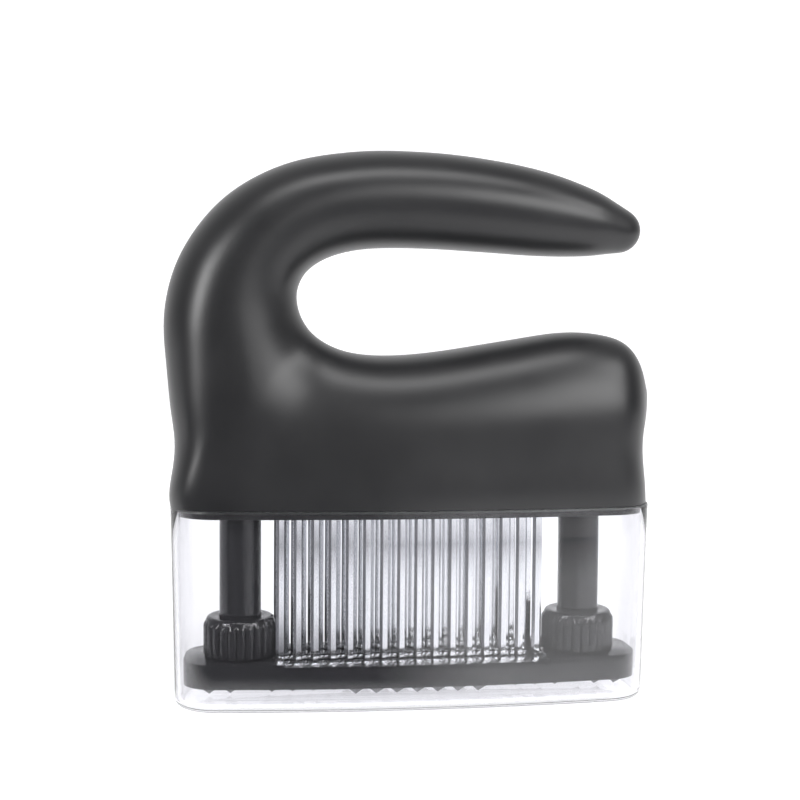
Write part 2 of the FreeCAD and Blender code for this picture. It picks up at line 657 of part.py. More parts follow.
def build_blades():
    """Blades: flat strips with one ground ridge along the face and a chisel tip."""
    half = size("blade_width") / 2
    thick = size("blade_thick") / 2
    ridge = -size("ridge_place")
    side = size("ridge_rise") - thick
    outline = [(-half, side), (ridge, -thick), (half, side), (half, thick), (-half, thick)]
    tip = size("blade_tip")
    profile = Part.Face(Part.makePolygon([Vector(x, y, tip) for x, y in outline + outline[:1]]))
    blade = profile.extrude(Vector(0, 0, HOLDER_TOP - tip))
    wedge = Part.Face(
        Part.makePolygon(
            [
                Vector(-half, -1, tip),
                Vector(half, -1, tip + size("blade_bevel")),
                Vector(half + 1, -1, tip - 1),
                Vector(-half, -1, tip),
            ]
        )
    ).extrude(Vector(0, 2, 0))
    blade = blade.cut(wedge)
    count = int(size("blade_count"))
    first = -size("blade_pitch") * (count - 1) / 2
    for name, row in ROWS.items():
        shift, y = row_place(row)
        blades = []
        for n in range(count):
            copy = blade.copy()
            copy.translate(Vector(first + shift + n * size("blade_pitch"), y, 0))
            blades.append(copy)
        keep_shape(Part.makeCompound(blades), f"blade_row_{name}")


# Bodies with sketches: a sketch's corner points are bound to the sheet one by one

def origin_plane(body, role):
    return next(f for f in body.Origin.OriginFeatures if f.Role == role)


def bound_sketch(body, name, role, corners):
    """A closed outline of straight lines. Each corner is a pair of positive expressions over the sheet."""
    import Sketcher

    sketch = body.newObject("Sketcher::SketchObject", name)
    sketch.AttachmentSupport = [(origin_plane(body, role), "")]
    sketch.MapMode = "FlatFace"
    probe = doc.addObject("Spreadsheet::Sheet", "Probe")
    for row, corner in enumerate(corners, start=1):
        for column, expression in zip("AB", corner):
            probe.set(f"{column}{row}", "=" + expression)
    doc.recompute()
    points = []
    for row in range(1, len(corners) + 1):
        points.append(Vector(float(probe.get(f"A{row}")), float(probe.get(f"B{row}")), 0))
    doc.removeObject(probe.Name)
    total = len(points)
    for n in range(total):
        sketch.addGeometry(Part.LineSegment(points[n], points[(n + 1) % total]), False)
    for n in range(total):
        sketch.addConstraint(Sketcher.Constraint("Coincident", n, 2, (n + 1) % total, 1))
    for n, corner in enumerate(corners):
        for kind, expression, value in (
            ("DistanceX", corner[0], points[n].x),
            ("DistanceY", corner[1], points[n].y),
        ):
            if expression == "0":
                axis = -2 if kind == "DistanceX" else -1
                sketch.addConstraint(Sketcher.Constraint("PointOnObject", n, 1, axis))
                continue
            index = sketch.addConstraint(Sketcher.Constraint(kind, -1, 1, n, 1, value))
            sketch.setExpression(f"Constraints[{index}]", expression)
    return sketch


def turned_body(label, corners, offset):
    """A body of revolution about its own Z axis, moved along X to one post."""
    body = doc.addObject("PartDesign::Body", label)
    sketch = bound_sketch(body, label + "_profile", "XZ_Plane", corners)
    turn = body.newObject("PartDesign::Revolution", label + "_turn")
    turn.Profile = sketch
    turn.ReferenceAxis = (sketch, ["V_Axis"])
    turn.Angle = 360
    body.Tip = turn
    sign = "-" if offset < 0 else ""
    body.setExpression("Placement.Base.x", sign + "Sizes.post_offset")
    return keep(body, label)


ROW_LENGTH_EXPR = "(Sizes.blade_count - 1) * Sizes.blade_pitch + Sizes.blade_width"
HOLDER_LENGTH_EXPR = ROW_LENGTH_EXPR + " + 2 * (Sizes.outer_shift + Sizes.holder_margin)"
PLATE_TOP_EXPR = "Sizes.plate_low + Sizes.plate_height"
BOSS_TOP_EXPR = PLATE_TOP_EXPR + " + Sizes.boss_height"
COLLAR_LOW_EXPR = BOSS_TOP_EXPR + " + Sizes.running_gap"
COLLAR_TOP_EXPR = COLLAR_LOW_EXPR + " + Sizes.collar_height"
NUT_LOW_EXPR = PLATE_TOP_EXPR + " + Sizes.seat_gap"
NUT_TOP_EXPR = NUT_LOW_EXPR + " + Sizes.nut_height"
FOOT_EXPR = "Sizes.plate_low + Sizes.post_socket"
BORE_LOW_EXPR = FOOT_EXPR + " + Sizes.post_solid"
SLEEVE_TOP_EXPR = "Sizes.cover_height + Sizes.sleeve_rise"
GROOVE_LOW_EXPR = SLEEVE_TOP_EXPR + " + Sizes.seat_gap"
GROOVE_TOP_EXPR = GROOVE_LOW_EXPR + " + Sizes.ring_height + 2 * Sizes.ring_gap"
GROOVE_EXPR = "Sizes.post_radius - Sizes.ring_groove"


def build_posts():
    """Hollow guide post with a collar for the nut, a small bead above it and a groove for the stop ring."""
    radius = "Sizes.post_radius"
    bead_low = NUT_TOP_EXPR + " + Sizes.seat_gap"
    bead_mid = bead_low + " + Sizes.bead_height"
    bead_top = bead_mid + " + Sizes.bead_height"
    corners = [
        ("0", FOOT_EXPR),
        (radius, FOOT_EXPR),
        (radius, COLLAR_LOW_EXPR),
        ("Sizes.collar_radius", COLLAR_LOW_EXPR),
        ("Sizes.collar_radius", COLLAR_TOP_EXPR),
        (radius, COLLAR_TOP_EXPR),
        (radius, bead_low),
        (radius + " + Sizes.bead_height", bead_mid),
        (radius, bead_top),
        (radius, GROOVE_LOW_EXPR),
        (GROOVE_EXPR, GROOVE_LOW_EXPR),
        (GROOVE_EXPR, GROOVE_TOP_EXPR),
        (radius, GROOVE_TOP_EXPR),
        (radius, "Sizes.post_top"),
        ("Sizes.post_bore", "Sizes.post_top"),
        ("Sizes.post_bore", BORE_LOW_EXPR),
        ("0", BORE_LOW_EXPR),
    ]
    for side, x in SIDES.items():
        turned_body(f"guide_post_{side}", corners, x)


def build_spring_rods():
    """Rod that keeps the return spring straight, with a flange for the spring and a locating stub."""
    flange_top = "Sizes.spring_top + Sizes.flange_height"
    stub_top = flange_top + " + Sizes.stub_height"
    corners = [
        ("0", "Sizes.rod_low"),
        ("Sizes.rod_radius - Sizes.rod_point", "Sizes.rod_low"),
        ("Sizes.rod_radius", "Sizes.rod_low + 2 * Sizes.rod_point"),
        ("Sizes.rod_radius", "Sizes.spring_top"),
        ("Sizes.rod_flange", "Sizes.spring_top"),
        ("Sizes.rod_flange", flange_top),
        ("Sizes.stub_radius", flange_top),
        ("Sizes.stub_radius", stub_top),
        ("0", stub_top),
    ]
    for side, x in SIDES.items():
        turned_body(f"spring_rod_{side}", corners, x)


def build_springs():
    """Return springs, hidden in the posts and the handle, as plain tubes of the coil's size."""
    low = FOOT_EXPR + " + Sizes.post_solid + Sizes.seat_gap"
    high = "Sizes.spring_top - Sizes.seat_gap"
    inner = "Sizes.spring_outer - Sizes.spring_wire"
    corners = [(inner, low), ("Sizes.spring_outer", low), ("Sizes.spring_outer", high), (inner, high)]
    for side, x in SIDES.items():
        turned_body(f"return_spring_{side}", corners, x)


def build_stop_rings():
    """Split ring in the post's groove, which rests on the sleeve at the end of the stroke."""
    for side, x in SIDES.items():
        label = f"post_stop_ring_{side}"
        ring = doc.addObject("Part::Cylinder", label + "_disc")
        ring.setExpression("Radius", "Sizes.ring_outer")
        ring.setExpression("Height", "Sizes.ring_height")
        hole = doc.addObject("Part::Cylinder", label + "_hole")
        hole.setExpression("Radius", GROOVE_EXPR + " + Sizes.ring_gap")
        hole.setExpression("Height", "Sizes.ring_height")
        mouth = doc.addObject("Part::Box", label + "_mouth")
        mouth.setExpression("Length", "Sizes.ring_mouth")
        mouth.setExpression("Width", "Sizes.ring_outer * 2")
        mouth.setExpression("Height", "Sizes.ring_height")
        mouth.setExpression("Placement.Base.x", "-Sizes.ring_mouth / 2")
        tools = doc.addObject("Part::Fuse", label + "_tools")
        tools.Base = hole
        tools.Tool = mouth
        cut = doc.addObject("Part::Cut", label)
        cut.Base = ring
        cut.Tool = tools
        sign = "-" if x < 0 else ""
        cut.setExpression("Placement.Base.x", sign + "Sizes.post_offset")
        cut.setExpression("Placement.Base.z", GROOVE_LOW_EXPR + " + Sizes.ring_gap")
        keep(cut, label)


def build_nuts():
    """Knurled union nut: a cap that clamps the post's collar onto the plate's boss, with ribs all round."""
    bore = "Sizes.post_radius + Sizes.running_gap"
    cavity = "Sizes.boss_radius + Sizes.seat_gap"
    roof = NUT_TOP_EXPR + " - Sizes.nut_roof"
    outer = "Sizes.nut_radius"
    corners = [
        (cavity, NUT_LOW_EXPR),
        (outer, NUT_LOW_EXPR),
        (outer, NUT_TOP_EXPR + " - Sizes.nut_chamfer"),
        (outer + " - Sizes.nut_chamfer", NUT_TOP_EXPR),
        (bore, NUT_TOP_EXPR),
        (bore, roof),
        (cavity, roof),
    ]
    for side, x in SIDES.items():
        body = turned_body(f"knurled_nut_{side}", corners, x)
        rib = bound_rib(body, side)
        doc.recompute()
        pattern = body.newObject("PartDesign::PolarPattern", f"nut_ribs_{side}")
        pattern.Originals = [rib]
        pattern.Axis = (next(f for f in body.Origin.OriginFeatures if f.Role == "Z_Axis"), [""])
        pattern.Angle = 360
        pattern.setExpression("Occurrences", "Sizes.nut_ribs")
        body.Tip = pattern


def bound_rib(body, side):
    """One rib: a bar up the nut's side that slopes back into it at the top."""
    inner = "Sizes.nut_radius - Sizes.rib_root"
    outer = "Sizes.nut_radius + Sizes.rib_height"
    high = NUT_TOP_EXPR + " - Sizes.nut_chamfer - Sizes.rib_end"
    corners = [
        (inner, NUT_LOW_EXPR),
        (outer, NUT_LOW_EXPR),
        (outer, high + " - Sizes.rib_fade"),
        ("Sizes.nut_radius + Sizes.rib_height * 2 / 3", high + " - Sizes.rib_fade / 3"),
        (inner, high),
    ]
    sketch = bound_sketch(body, f"rib_profile_{side}", "XZ_Plane", corners)
    rib = body.newObject("PartDesign::Pad", f"rib_{side}")
    rib.Profile = sketch
    rib.setExpression("Length", "Sizes.rib_width")
    rib.Midplane = True
    body.Tip = rib
    return rib


def build_blade_holder():
    """Block with one pocket for each blade, and the plate that clamps the blades into it."""
    for label, low, height in (
        ("blade_holder", "Sizes.cover_height + Sizes.deck_rise", "Sizes.holder_height"),
        (
            "blade_clamp_plate",
            "Sizes.cover_height + Sizes.deck_rise + Sizes.holder_height",
            "Sizes.clamp_height",
        ),
    ):
        block = doc.addObject("Part::Box", label + "_block")
        block.setExpression("Length", HOLDER_LENGTH_EXPR)
        block.setExpression("Width", "Sizes.holder_depth")
        block.setExpression("Height", height)
        block.setExpression("Placement.Base.x", f"-({HOLDER_LENGTH_EXPR}) / 2")
        block.setExpression("Placement.Base.y", "-Sizes.holder_depth / 2")
        block.setExpression("Placement.Base.z", low)
        tools = []
        for sign_x in ("-", ""):
            for sign_y in ("-", ""):
                hole = doc.addObject("Part::Cylinder", label + "_screw_hole")
                hole.setExpression("Radius", "Sizes.screw_radius + Sizes.screw_gap")
                hole.setExpression("Height", height)
                hole.setExpression("Placement.Base.x", sign_x + "Sizes.clamp_screw_x")
                hole.setExpression("Placement.Base.y", sign_y + "Sizes.clamp_screw_y")
                hole.setExpression("Placement.Base.z", low)
                tools.append(hole)
        if label == "blade_holder":
            count = int(size("blade_count"))
            for factor in ROWS.values():
                shift = "+ Sizes.middle_shift" if factor == 0 else "- Sizes.outer_shift"
                for n in range(count):
                    pocket = doc.addObject("Part::Box", label + "_pocket")
                    pocket.setExpression("Length", "Sizes.blade_width + 2 * Sizes.blade_gap")
                    pocket.setExpression("Width", "Sizes.blade_thick + 2 * Sizes.blade_gap")
                    pocket.setExpression("Height", height)
                    place = f"({n} - (Sizes.blade_count - 1) / 2) * Sizes.blade_pitch {shift}"
                    edge = place + " - Sizes.blade_width / 2 - Sizes.blade_gap"
                    pocket.setExpression("Placement.Base.x", edge)
                    pocket.setExpression(
                        "Placement.Base.y",
                        f"{factor} * Sizes.row_pitch - Sizes.blade_thick / 2 - Sizes.blade_gap",
                    )
                    pocket.setExpression("Placement.Base.z", low)
                    tools.append(pocket)
        holes = doc.addObject("Part::MultiFuse", label + "_holes")
        holes.Shapes = tools
        cut = doc.addObject("Part::Cut", label)
        cut.Base = block
        cut.Tool = holes
        keep(cut, label)


build_cover()
build_base_plate()
build_handle_shells()
build_screws()
build_blade_holder()
build_blades()
build_press_plate()
build_posts()
build_stop_rings()
build_spring_rods()
build_springs()
build_nuts()
doc.recompute()

os.makedirs("parts", exist_ok=True)
for item in doc.Objects:
    if "Invalid" in item.State or "Error" in item.State:
        raise RuntimeError(f"{item.Label} failed: {item.State}")
for item in PARTS:
    if item.Shape.isNull() or not item.Shape.isValid():
        raise RuntimeError(f"{item.Label} has no valid shape")
for item in PARTS:
    item.Shape.exportStep(f"parts/{item.Label}.step")
    print(item.Label, len(item.Shape.Solids), round(item.Shape.Volume))
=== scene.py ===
import json
import math

import bmesh
import bpy
from mathutils import Matrix, Vector


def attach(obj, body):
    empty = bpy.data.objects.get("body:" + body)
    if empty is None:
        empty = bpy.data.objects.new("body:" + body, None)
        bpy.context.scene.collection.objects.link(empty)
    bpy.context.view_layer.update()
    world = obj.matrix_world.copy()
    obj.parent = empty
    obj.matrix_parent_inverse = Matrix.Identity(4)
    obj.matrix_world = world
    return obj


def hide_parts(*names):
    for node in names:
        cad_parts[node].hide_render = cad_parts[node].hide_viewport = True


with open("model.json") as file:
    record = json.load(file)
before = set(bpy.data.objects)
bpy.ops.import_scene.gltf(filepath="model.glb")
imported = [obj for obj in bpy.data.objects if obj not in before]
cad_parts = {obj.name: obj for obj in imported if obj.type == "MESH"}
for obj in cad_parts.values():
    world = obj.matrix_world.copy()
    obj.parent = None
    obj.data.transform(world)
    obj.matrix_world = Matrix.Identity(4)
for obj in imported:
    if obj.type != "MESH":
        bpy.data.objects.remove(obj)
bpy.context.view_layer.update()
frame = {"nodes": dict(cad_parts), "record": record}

MM = 0.001

# Driving sizes of the object, in millimetres and the same as in the solids
COVER_WIDTH = 145.0
COVER_DEPTH = 40.0
BASE = 60.0
CORNER = 13.0
BOW = 3.2
DRAFT = 1.2
COVER_WALL = 1.6
COVER_FLOOR = 2.0
COVER_ROUND = 2.4
INNER_ROUND = 1.4
RIM_GAP = 0.3
RIM_BAND = 0.5
RIM_ROUND = 0.35
RIM_SHARE = 0.3
SHELL_WALL = 2.6
TIP_SOLID = 9.0
WAIST_DEPTH = 1.5
WAIST_RISE = 16.0
WAIST_SPREAD = 8.5
POST_OFFSET = 51.8
POST_RADIUS = 6.2
RUNNING_GAP = 0.08
SEAT_GAP = 0.3
PLATE_TOP = 14.3
NUT_RADIUS = 10.25
NUT_LOW = PLATE_TOP + SEAT_GAP
NUT_HEIGHT = 11.7
NUT_TOP = NUT_LOW + NUT_HEIGHT
NUT_ROOF = 3.0
NUT_ROUND = 1.3
NUT_EDGE = 0.3
NUT_RIBS = 24
RIB_DEPTH = 0.75
RIB_LENGTH = 8.3
BOSS_RADIUS = 8.2
PLATE_SOFTNESS = 0.35
COUNTERBORE = 2.8
COUNTERBORE_FLOOR = 5.0
SHELL_SCREWS = ((-55.0, 124.0), (-21.0, 149.5), (38.0, 147.2), (18.0, 91.0))

HALF_WIDTH = COVER_WIDTH / 2
HALF_DEPTH = COVER_DEPTH / 2
HALF_SEAM = 0.06
BIG = 200.0

# How finely the meshes are divided, and the angles in degrees at which their edges stay sharp
SIDE_STEPS = 5
CORNER_STEPS = 16
BOW_STEPS = 18
ROD_STEPS = 48
ROUND_STEPS = 7
RIB_STEPS = 14
NUT_ROUND_STEPS = 6
FLOOR_STEPS = 12
HANDLE_LEVELS = 2
EDGE_SEGMENTS = 2
MERGE_DISTANCE = 1e-6
FLAT_ANGLE = 1.0
HANDLE_ANGLE = 32
COVER_ANGLE = 50
NUT_ANGLE = 45
PLATE_ANGLE = 35


# Plan outline that the cover and the handle's base share

def bow_values(half_width, half_depth, corner):
    """Radius of the bowed side, lean at its end, and radius and centre of the corner arc."""
    flat = half_width - corner
    bow = BOW * (flat / (HALF_WIDTH - CORNER)) ** 2
    bow_radius = (flat * flat + bow * bow) / (2 * bow)
    lean = math.asin(flat / bow_radius)
    radius = corner / (1 - math.sin(lean))
    centre_x = flat - radius * math.sin(lean)
    centre_y = half_depth - bow - radius * math.cos(lean)
    return bow_radius, lean, radius, centre_x, centre_y


def base_half_depth(x):
    """Half the depth of the base at a place along X."""
    bow_radius, _, radius, centre_x, centre_y = bow_values(HALF_WIDTH, HALF_DEPTH, CORNER)
    x = min(abs(x), HALF_WIDTH)
    if x <= HALF_WIDTH - CORNER:
        return HALF_DEPTH - bow_radius + math.sqrt(bow_radius**2 - x * x)
    return centre_y + math.sqrt(max(0.0, radius**2 - (x - centre_x) ** 2))


def outline_points(inset):
    """The base outline drawn in by inset, as points in order, with more of them round the corners."""
    half_width, half_depth = HALF_WIDTH - inset, HALF_DEPTH - inset
    bow_radius, lean, radius, centre_x, centre_y = bow_values(half_width, half_depth, CORNER - inset)
    quarter = []
    for n in range(SIDE_STEPS):
        quarter.append((half_width, centre_y * n / SIDE_STEPS))
    for n in range(CORNER_STEPS + 1):
        angle = (math.pi / 2 - lean) * n / CORNER_STEPS
        quarter.append((centre_x + radius * math.cos(angle), centre_y + radius * math.sin(angle)))
    for n in range(1, BOW_STEPS + 1):
        angle = lean * (1 - n / BOW_STEPS)
        quarter.append((bow_radius * math.sin(angle), half_depth - bow_radius * (1 - math.cos(angle))))
    points = list(quarter)
    points += [(-x, y) for x, y in reversed(quarter[:-1])]
    points += [(-x, -y) for x, y in quarter[1:]]
    points += [(x, -y) for x, y in reversed(quarter[1:-1])]
    return points


# Mesh helpers

def new_object(name, mesh):
    obj = bpy.data.objects.new(name, mesh)
    bpy.context.scene.collection.objects.link(obj)
    return obj


def skin_rings(rings, close_ends):
    """A mesh through rings of equally many points, closed at its two ends if asked."""
    bm = bmesh.new()
    rows = [[bm.verts.new([c * MM for c in point]) for point in ring] for ring in rings]
    count = len(rows[0])
    for lower, upper in zip(rows, rows[1:]):
        for n in range(count):
            bm.faces.new((lower[n], lower[(n + 1) % count], upper[(n + 1) % count], upper[n]))
    if close_ends:
        bm.faces.new(reversed(rows[0]))
        bm.faces.new(rows[-1])
    bmesh.ops.recalc_face_normals(bm, faces=bm.faces)
    mesh = bpy.data.meshes.new("rings")
    bm.to_mesh(mesh)
    bm.free()
    return mesh


def applied(obj):
    """Replaces an object's mesh by what its modifiers make of it."""
    graph = bpy.context.evaluated_depsgraph_get()
    mesh = bpy.data.meshes.new_from_object(obj.evaluated_get(graph))
    obj.modifiers.clear()
    obj.data = mesh


def smooth_below(obj, degrees):
    """Smooth shading, with sharp edges where faces meet at more than the given angle."""
    obj.data.shade_smooth()
    obj.data.set_sharp_from_angle(angle=math.radians(degrees))


def cut(obj, tool):
    """Cuts one closed mesh out of another, and deletes the tool."""
    modifier = obj.modifiers.new("boolean", "BOOLEAN")
    modifier.object = tool
    modifier.operation = "DIFFERENCE"
    modifier.solver = "MANIFOLD"
    applied(obj)
    bpy.data.objects.remove(tool)


def block(low, high):
    """A box between two corners in millimetres, as a tool to cut with."""
    bm = bmesh.new()
    bmesh.ops.create_cube(bm, size=1.0)
    for vert in bm.verts:
        for axis in range(3):
            vert.co[axis] = (low[axis] if vert.co[axis] < 0 else high[axis]) * MM
    mesh = bpy.data.meshes.new("block")
    bm.to_mesh(mesh)
    bm.free()
    return new_object("block", mesh)


def rod_along_y(x, z, radius, start, end):
    """A round rod along Y, as a tool to cut with."""
    rings = []
    for y in (start, end):
        ring = []
        for n in range(ROD_STEPS):
            angle = 2 * math.pi * n / ROD_STEPS
            ring.append((x + radius * math.cos(angle), y, z + radius * math.sin(angle)))
        rings.append(ring)
    return new_object("rod", skin_rings(rings, True))


# Handle: the same rings as in the solids, as the cage of a smooth subdivided form

RING_STEPS = 32
RING_COUNT = 80
TIP_CROWDING = 1.5
UNDER_BASE = -17.0
LOBE_TOP = 51.3
LOBE_DROP = 17.0
LOBE_SWELL = 0.2
LOBE_POWER = 0.8
LOBE_ANGLES = (90, 80, 68, 54, 38, 20)
BODY_POWER = 2.6
SHOULDER_POWER = 2.3

# Inner x, inner z, outer x, outer z, half depth (None: fitted to the base), inner power, outer power
RINGS = [
    (48.0, 51.6, 48.0, UNDER_BASE, None, SHOULDER_POWER, BODY_POWER),
    (28.0, 48.8, 28.5, UNDER_BASE, None, SHOULDER_POWER, BODY_POWER),
    (6.0, 45.3, 4.0, UNDER_BASE, None, SHOULDER_POWER, BODY_POWER),
    (-8.0, 44.2, -18.0, UNDER_BASE, None, SHOULDER_POWER, BODY_POWER),
    (-18.3, 44.9, -40.0, -16.5, None, SHOULDER_POWER, 2.8),
    (-25.0, 47.0, -58.5, -13.0, None, 2.2, 3.2),
    (-30.0, 50.2, -72.6, -2.5, 18.8, 2.1, 3.6),
    (-33.2, 54.2, -72.2, 17.0, 18.6, 2.0, 2.9),
    (-35.0, 59.0, -73.2, 37.0, 18.4, 2.0, 2.5),
    (-35.0, 64.0, -74.4, 56.0, 18.2, 2.0, 2.2),
    (-32.6, 68.8, -69.8, 73.5, 17.8, 2.0, 2.1),
    (-27.4, 72.6, -57.5, 90.0, 17.2, 2.0, 2.0),
    (-20.5, 75.0, -39.8, 100.4, 16.5, 2.0, 2.0),
    (-11.5, 76.2, -19.0, 104.6, 15.8, 2.0, 2.0),
    (3.0, 76.3, 2.0, 105.0, 15.2, 2.0, 2.0),
    (20.0, 75.5, 20.5, 103.4, 14.6, 2.0, 2.0),
    (38.0, 74.5, 39.5, 99.9, 13.6, 2.0, 2.0),
    (52.0, 74.6, 55.0, 94.6, 11.4, 2.0, 2.0),
    (60.4, 75.5, 63.6, 89.8, 8.6, 2.0, 2.0),
    (64.6, 76.0, 67.2, 87.5, 6.9, 2.0, 2.0),
    (66.9, 77.2, 68.8, 85.4, 4.9, 2.0, 2.0),
    (68.3, 78.8, 69.35, 83.4, 2.8, 2.0, 2.0),
    (68.95, 80.05, 69.4, 82.0, 1.2, 2.0, 2.0),
]


def lobe_rings():
    """The rings that round the right end of the body."""
    flat = HALF_WIDTH - CORNER
    rings = []
    for degrees in LOBE_ANGLES:
        angle = math.radians(degrees)
        out = math.sin(angle)
        top = LOBE_TOP - LOBE_DROP * (1 - math.cos(angle)) ** LOBE_POWER
        inner_x = flat + (CORNER + LOBE_SWELL) * out
        rings.append((inner_x, top, flat + CORNER * out, UNDER_BASE, None, SHOULDER_POWER, BODY_POWER))
    return rings


def placed_ring(ring):
    """Lifts a ring onto the base and finds its depth where that follows the base."""
    inner_x, inner_z, outer_x, outer_z, depth, inner_power, outer_power = ring
    inner = Vector((inner_x, 0, BASE + inner_z))
    outer = Vector((outer_x, 0, BASE + outer_z))
    if depth is None:
        line = outer - inner
        half = line.length / 2
        crossing = (BASE - (inner.z + outer.z) / 2) * line.length / line.z
        power = outer_power if crossing > 0 else inner_power
        crossing_x = (inner.x + outer.x) / 2 + line.x / line.length * crossing
        depth = base_half_depth(crossing_x) / (1 - (abs(crossing) / half) ** power) ** (1 / power)
    return (inner.x, inner.z, outer.x, outer.z, depth, inner_power, outer_power)


def smooth_between(values, places, at):
    """Cubic interpolation of rows of numbers that stand at the given places."""
    last = len(places) - 1
    upper = next((i for i in range(1, last) if places[i] >= at), last)
    before, low, high, after = max(0, upper - 2), upper - 1, upper, min(last, upper + 1)
    span = places[high] - places[low]
    part = (at - places[low]) / span
    result = []
    for v0, v1, v2, v3 in zip(values[before], values[low], values[high], values[after]):
        slope_low = (v2 - v0) / (places[high] - places[before]) * span
        slope_high = (v3 - v1) / (places[after] - places[low]) * span
        result.append(
            (2 * part**3 - 3 * part**2 + 1) * v1
            + (part**3 - 2 * part**2 + part) * slope_low
            + (3 * part**2 - 2 * part**3) * v2
            + (part**3 - part**2) * slope_high
        )
    return result


def drawn_in(point):
    """Draws a point in at the waist above the base."""
    bump = math.exp(-(((point.z - BASE - WAIST_RISE) / WAIST_SPREAD) ** 2))
    across = 1 - WAIST_DEPTH / HALF_WIDTH * bump
    depth = 1 - WAIST_DEPTH / 2 / HALF_DEPTH * bump
    return Vector((point.x * across, point.y * depth, point.z))


def sharpened(points):
    """Moves the points of a closed ring out, so that the smooth surface passes close to where they were."""
    count = len(points)
    result = []
    for n, point in enumerate(points):
        beside = points[n - 1] + points[(n + 1) % count]
        result.append(point * (4 / 3) - beside / 6)
    return result


def ring_points(ring, inset):
    """Points round one ring: an oval that is squarer where its power is higher."""
    inner_x, inner_z, outer_x, outer_z, depth, inner_power, outer_power = ring
    inner = Vector((inner_x, 0, inner_z))
    outer = Vector((outer_x, 0, outer_z))
    middle = (inner + outer) / 2
    along = (outer - inner).normalized()
    half = (outer - inner).length / 2 - inset
    points = []
    for step in range(RING_STEPS):
        angle = 2 * math.pi * step / RING_STEPS
        c, s = math.cos(angle), math.sin(angle)
        power = outer_power if c > 0 else inner_power
        out = math.copysign(abs(c) ** (2 / power), c) * half
        side = math.copysign(abs(s) ** (2 / power), s) * (depth - inset)
        points.append(drawn_in(middle + along * out + Vector((0, side, 0))))
    return sharpened(points)


def close_by_strips(obj):
    """Closes the two ends of a form by strips from front to rear, with a sharp edge round each."""
    half = RING_STEPS // 2
    bm = bmesh.new()
    bm.from_mesh(obj.data)
    bm.verts.ensure_lookup_table()
    crease = bm.edges.layers.float.new("crease_edge")
    for edge in bm.edges:
        if edge.is_boundary:
            edge[crease] = 1.0
    for start in (0, len(bm.verts) - RING_STEPS):
        ring = bm.verts[start : start + RING_STEPS]
        bm.faces.new((ring[0], ring[1], ring[-1]))
        bm.faces.new((ring[half - 1], ring[half], ring[half + 1]))
        for n in range(1, half - 1):
            bm.faces.new((ring[n], ring[n + 1], ring[-n - 1], ring[-n]))
    bmesh.ops.recalc_face_normals(bm, faces=bm.faces)
    bm.to_mesh(obj.data)
    bm.free()


def handle_form(inset, start, stop):
    """The closed form of the handle, drawn in by inset, without its first and last stretch."""
    rings = [placed_ring(r) for r in lobe_rings() + RINGS]
    places = [0.0]
    for a, b in zip(rings, rings[1:]):
        inner_step = math.hypot(a[0] - b[0], a[1] - b[1])
        outer_step = math.hypot(a[2] - b[2], a[3] - b[3])
        places.append(places[-1] + (inner_step + outer_step) / 2)
    last = places[-1] - stop
    cage = []
    for n in range(RING_COUNT):
        left = 1 - n / (RING_COUNT - 1)
        at = last - (last - start) * left**TIP_CROWDING
        cage.append(ring_points(smooth_between(rings, places, at), inset))
    obj = new_object("form", skin_rings(cage, False))
    close_by_strips(obj)
    subdivide = obj.modifiers.new("smooth", "SUBSURF")
    subdivide.levels = HANDLE_LEVELS
    applied(obj)
    return obj


def make_handle():
    """Two hollow halves with a fine seam between them, and screw holes in the rear one."""
    shells = {}
    for side in ("front", "rear"):
        shell = handle_form(0.0, 0.0, 0.0)
        cut(shell, block((-BIG, -BIG, -BIG), (BIG, BIG, BASE)))
        hollow = handle_form(SHELL_WALL, SHELL_WALL, TIP_SOLID)
        cut(shell, hollow)
        low = -HALF_SEAM if side == "front" else -BIG
        high = BIG if side == "front" else HALF_SEAM
        cut(shell, block((-BIG, low, -BIG), (BIG, high, BIG)))
        if side == "rear":
            for x, z in SHELL_SCREWS:
                hole = rod_along_y(x, z, COUNTERBORE, COUNTERBORE_FLOOR, COVER_DEPTH)
                cut(shell, hole)
        smooth_below(shell, HANDLE_ANGLE)
        shell.name = f"handle_{side}_skin"
        shells[side] = shell
    return shells


# Cover

FLOOR_INSETS = (11.5, 8.0, 5.0)
INNER_FLOOR_INSETS = (5.5, 8.0, 11.5)
WALL_HEIGHTS = (10.0, 20.0, 30.0, 40.0, 50.0)


def cover_rings():
    """Rings from the middle of the outer floor up the outside, over the rim, and down the inside."""
    top = BASE - RIM_GAP
    rings = []

    def lean(z):
        return DRAFT * (1 - z / top)

    def add(inset, z):
        rings.append([(x, y, z) for x, y in outline_points(inset)])

    for inset in FLOOR_INSETS:
        add(inset, 0.0)
    for n in range(ROUND_STEPS + 1):
        angle = math.pi / 2 * n / ROUND_STEPS
        z = COVER_ROUND * (1 - math.cos(angle))
        add(DRAFT + COVER_ROUND * (1 - math.sin(angle)) - (DRAFT - lean(z)) * math.sin(angle), z)
    for z in (*WALL_HEIGHTS, top - RIM_BAND):
        add(lean(z), z)
    soft = RIM_ROUND * RIM_SHARE
    add(soft, top - soft)
    add(RIM_ROUND, top)
    add(COVER_WALL - RIM_ROUND, top)
    add(COVER_WALL - soft * (1 - RIM_SHARE), top - soft)
    for z in (top - RIM_BAND, *reversed(WALL_HEIGHTS)):
        add(COVER_WALL + lean(z), z)
    for n in range(ROUND_STEPS, -1, -1):
        angle = math.pi / 2 * n / ROUND_STEPS
        z = COVER_FLOOR + INNER_ROUND * (1 - math.cos(angle))
        add(COVER_WALL + lean(z) + INNER_ROUND * (1 - math.sin(angle)), z)
    for inset in INNER_FLOOR_INSETS:
        add(inset, COVER_FLOOR)
    return rings


def make_cover():
    cover = new_object("cover_clear_skin", skin_rings(cover_rings(), True))
    smooth_below(cover, COVER_ANGLE)
    return cover


# Knurled nuts

